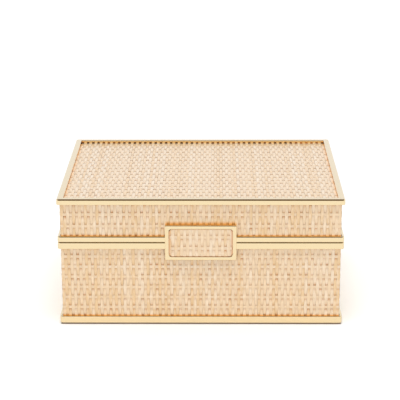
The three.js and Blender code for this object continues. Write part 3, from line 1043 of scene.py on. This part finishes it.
def crowned_pad(node, lining, up):
    """A thin pad over card: its edge is rolled, its face crowned, its sides drawn in a little."""
    low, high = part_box(node)
    centre = (low + high) / 2
    half = (high - low) / 2
    bm = bmesh.new()
    bmesh.ops.create_grid(bm, x_segments=PAD_GRID[0], y_segments=PAD_GRID[1], size=1)
    shell = bmesh.ops.extrude_face_region(bm, geom=bm.faces[:])
    top = {item for item in shell["geom"] if isinstance(item, bmesh.types.BMVert)}
    for vert in bm.verts:
        u = vert.co.x
        v = vert.co.y
        x = u * (half.x - lining.pull_in * (1 - v * v) * abs(u) ** PULL_POWER)
        y = v * (half.y - lining.pull_in * (1 - u * u) * abs(v) ** PULL_POWER)
        rolled = (1 - abs(u) ** ROLL_POWER) * (1 - abs(v) ** ROLL_POWER)
        crown = rise(PAD_SIDE_SHARE, (1 - u * u) * (1 - v * v))
        crown *= rise(PAD_EDGE_SHARE, rolled ** 0.5)
        side = half.z * (2 * crown - 1) if vert in top else -half.z
        vert.co = (centre.x + x, centre.y + y, centre.z + up * side)
    bmesh.ops.recalc_face_normals(bm, faces=bm.faces)
    return bm


class CANEBOX_OT_finish_boards(bpy.types.Operator):
    """Give the boards their sawn finish"""

    bl_idname = "cane_box.finish_boards"
    bl_label = "Finish boards"

    def execute(self, context):
        material = board_material(context.scene.cane_box_lining)
        for row in frame["record"]["subparts"]:
            if row["material_slot"] == "board":
                mesh = frame["nodes"][row["node"]].data
                mesh.materials.clear()
                mesh.materials.append(material)
        return {"FINISHED"}


class CANEBOX_OT_set_stage(bpy.types.Operator):
    """Set the camera, the floor and the light"""

    bl_idname = "cane_box.set_stage"
    bl_label = "Set stage"

    def execute(self, context):
        scene = context.scene
        stage = scene.cane_box_stage
        add_camera(scene, stage)
        add_floor(scene, stage)
        spread = stage.lamp_spread
        add_lamp(scene, "key", stage.key_light, stage.key_height, -stage.key_side, spread)
        add_lamp(scene, "top", stage.top_light, stage.top_height, 0, spread)
        scene.world = studio_world(stage)
        scene.view_settings.view_transform = "Standard"
        return {"FINISHED"}


def add_camera(scene, stage):
    camera = bpy.data.objects.new("camera", bpy.data.cameras.new("camera"))
    camera.data.lens = stage.focal_length
    camera.data.sensor_width = SENSOR_WIDTH
    camera.data.clip_start = CLIP_START
    camera.data.clip_end = CLIP_END
    camera.matrix_world = (
        Matrix.Translation(stage.camera_place)
        @ Matrix.Rotation(stage.pan, 4, "Z")
        @ Matrix.Rotation(math.pi / 2 - stage.tilt, 4, "X")
        @ Matrix.Rotation(-stage.roll, 4, "Z")
    )
    scene.collection.objects.link(camera)
    scene.camera = camera


def add_floor(scene, stage):
    """White paper. The camera and the brass see it whiter, and it keeps the box's shadow."""
    bm = bmesh.new()
    bmesh.ops.create_grid(bm, x_segments=1, y_segments=1, size=stage.floor_reach)
    mesh = bpy.data.meshes.new("floor")
    bm.to_mesh(mesh)
    bm.free()
    floor = bpy.data.objects.new("floor", mesh)
    scene.collection.objects.link(floor)
    material, tree = start_material("white_paper")
    ray = add_node(tree, "ShaderNodeLightPath")
    gain = 1.0
    rays = (("Is Glossy Ray", stage.floor_mirrored), ("Is Camera Ray", stage.floor_seen))
    for name, whiter in rays:
        mix = add_node(tree, "ShaderNodeMix", {0: ray.outputs[name], 2: gain, 3: whiter})
        gain = mix.outputs[0]
    white = add_node(
        tree,
        "ShaderNodeMix",
        {0: 1.0, 6: tuple(stage.floor), 7: gain},
        data_type="RGBA",
        blend_type="MULTIPLY",
    )
    finish_surface(tree, add_node(tree, "ShaderNodeBsdfDiffuse", {"Color": white.outputs[2]}))
    mesh.materials.append(material)


def add_lamp(scene, name, light, height, turn, spread):
    """A wide soft lamp, at a height above the horizon and turned about the box from the front."""
    lamp = bpy.data.lights.new(name, "SUN")
    lamp.energy = light
    lamp.angle = spread
    lamp_object = bpy.data.objects.new(name, lamp)
    lamp_object.visible_glossy = False
    lamp_object.rotation_euler = (math.pi / 2 - height, 0, turn)
    scene.collection.objects.link(lamp_object)


def studio_world(stage):
    """White all round near the ground, dark above, as in a white cove under a dark ceiling.

    The dark comes down further in front, behind the camera.
    """
    world = bpy.data.worlds.new("studio")
    world.use_nodes = True
    tree = world.node_tree
    tree.nodes.clear()
    direction = add_node(tree, "ShaderNodeTexCoord").outputs["Generated"]
    parts = add_node(tree, "ShaderNodeSeparateXYZ", {"Vector": direction})
    ray = add_node(tree, "ShaderNodeLightPath")
    cove_top = add_node(
        tree,
        "ShaderNodeMapRange",
        {
            "Value": parts.outputs["Y"],
            "From Min": stage.front_far,
            "From Max": stage.front_near,
            "To Min": stage.cove_front,
            "To Max": stage.cove_sides,
        },
        interpolation_type="SMOOTHSTEP",
    )
    fade_top = add_node(
        tree, "ShaderNodeMath", {0: cove_top.outputs[0], 1: stage.cove_fade}, operation="ADD"
    )
    above = add_node(
        tree,
        "ShaderNodeMapRange",
        {
            "Value": parts.outputs["Z"],
            "From Min": cove_top.outputs[0],
            "From Max": fade_top.outputs[0],
        },
        interpolation_type="SMOOTHSTEP",
    )
    # Light that reaches the cane by way of the brass comes from the lamps, so it is white
    by_way_of_brass = add_node(
        tree,
        "ShaderNodeMath",
        {0: ray.outputs["Diffuse Depth"], 1: 0.5},
        operation="GREATER_THAN",
    )
    mirrors = [
        (above.outputs[0], tuple(stage.ceiling)),
        (by_way_of_brass.outputs[0], grey(stage.bounced_light)),
    ]
    rays = [
        (ray.outputs["Is Glossy Ray"], lay_over(tree, tuple(stage.cove), mirrors)),
        (ray.outputs["Is Camera Ray"], grey(1.0)),
    ]
    seen = lay_over(tree, grey(stage.fill_light), rays)
    background = add_node(tree, "ShaderNodeBackground", {"Color": seen})
    add_node(tree, "ShaderNodeOutputWorld", {"Surface": background.outputs[0]})
    return world


class CANEBOX_PT_sidebar(bpy.types.Panel):
    """The box's sizes, colours and steps"""

    bl_idname = "CANEBOX_PT_sidebar"
    bl_label = "Cane box"
    bl_space_type = "VIEW_3D"
    bl_region_type = "UI"
    bl_category = "Cane box"

    def draw(self, context):
        for operator in OPERATORS:
            self.layout.operator(operator.bl_idname)
        for group in GROUPS:
            settings = getattr(context.scene, group)
            self.layout.label(text=settings.bl_rna.description)
            for name in settings.__annotations__:
                self.layout.prop(settings, name)


GROUPS = {
    "cane_box_cane": CaneProperties,
    "cane_box_brass": BrassProperties,
    "cane_box_lining": LiningProperties,
    "cane_box_stage": StageProperties,
}
OPERATORS = (
    CANEBOX_OT_set_stage,
    CANEBOX_OT_weave_walls,
    CANEBOX_OT_weave_top,
    CANEBOX_OT_weave_inlay,
    CANEBOX_OT_polish_brass,
    CANEBOX_OT_fit_hinges,
    CANEBOX_OT_line_inside,
    CANEBOX_OT_finish_boards,
)


def register():
    for group in GROUPS.values():
        bpy.utils.register_class(group)
    for name, group in GROUPS.items():
        setattr(bpy.types.Scene, name, PointerProperty(type=group))
    for operator in OPERATORS:
        bpy.utils.register_class(operator)
    bpy.utils.register_class(CANEBOX_PT_sidebar)


def unregister():
    bpy.utils.unregister_class(CANEBOX_PT_sidebar)
    for operator in reversed(OPERATORS):
        bpy.utils.unregister_class(operator)
    for name in GROUPS:
        delattr(bpy.types.Scene, name)
    for group in GROUPS.values():
        bpy.utils.unregister_class(group)


def main():
    register()
    bpy.ops.cane_box.set_stage()
    bpy.ops.cane_box.weave_walls()
    bpy.ops.cane_box.weave_top()
    bpy.ops.cane_box.weave_inlay()
    bpy.ops.cane_box.polish_brass()
    bpy.ops.cane_box.fit_hinges()
    bpy.ops.cane_box.line_inside()
    bpy.ops.cane_box.finish_boards()


if __name__ == "__main__":
    main()
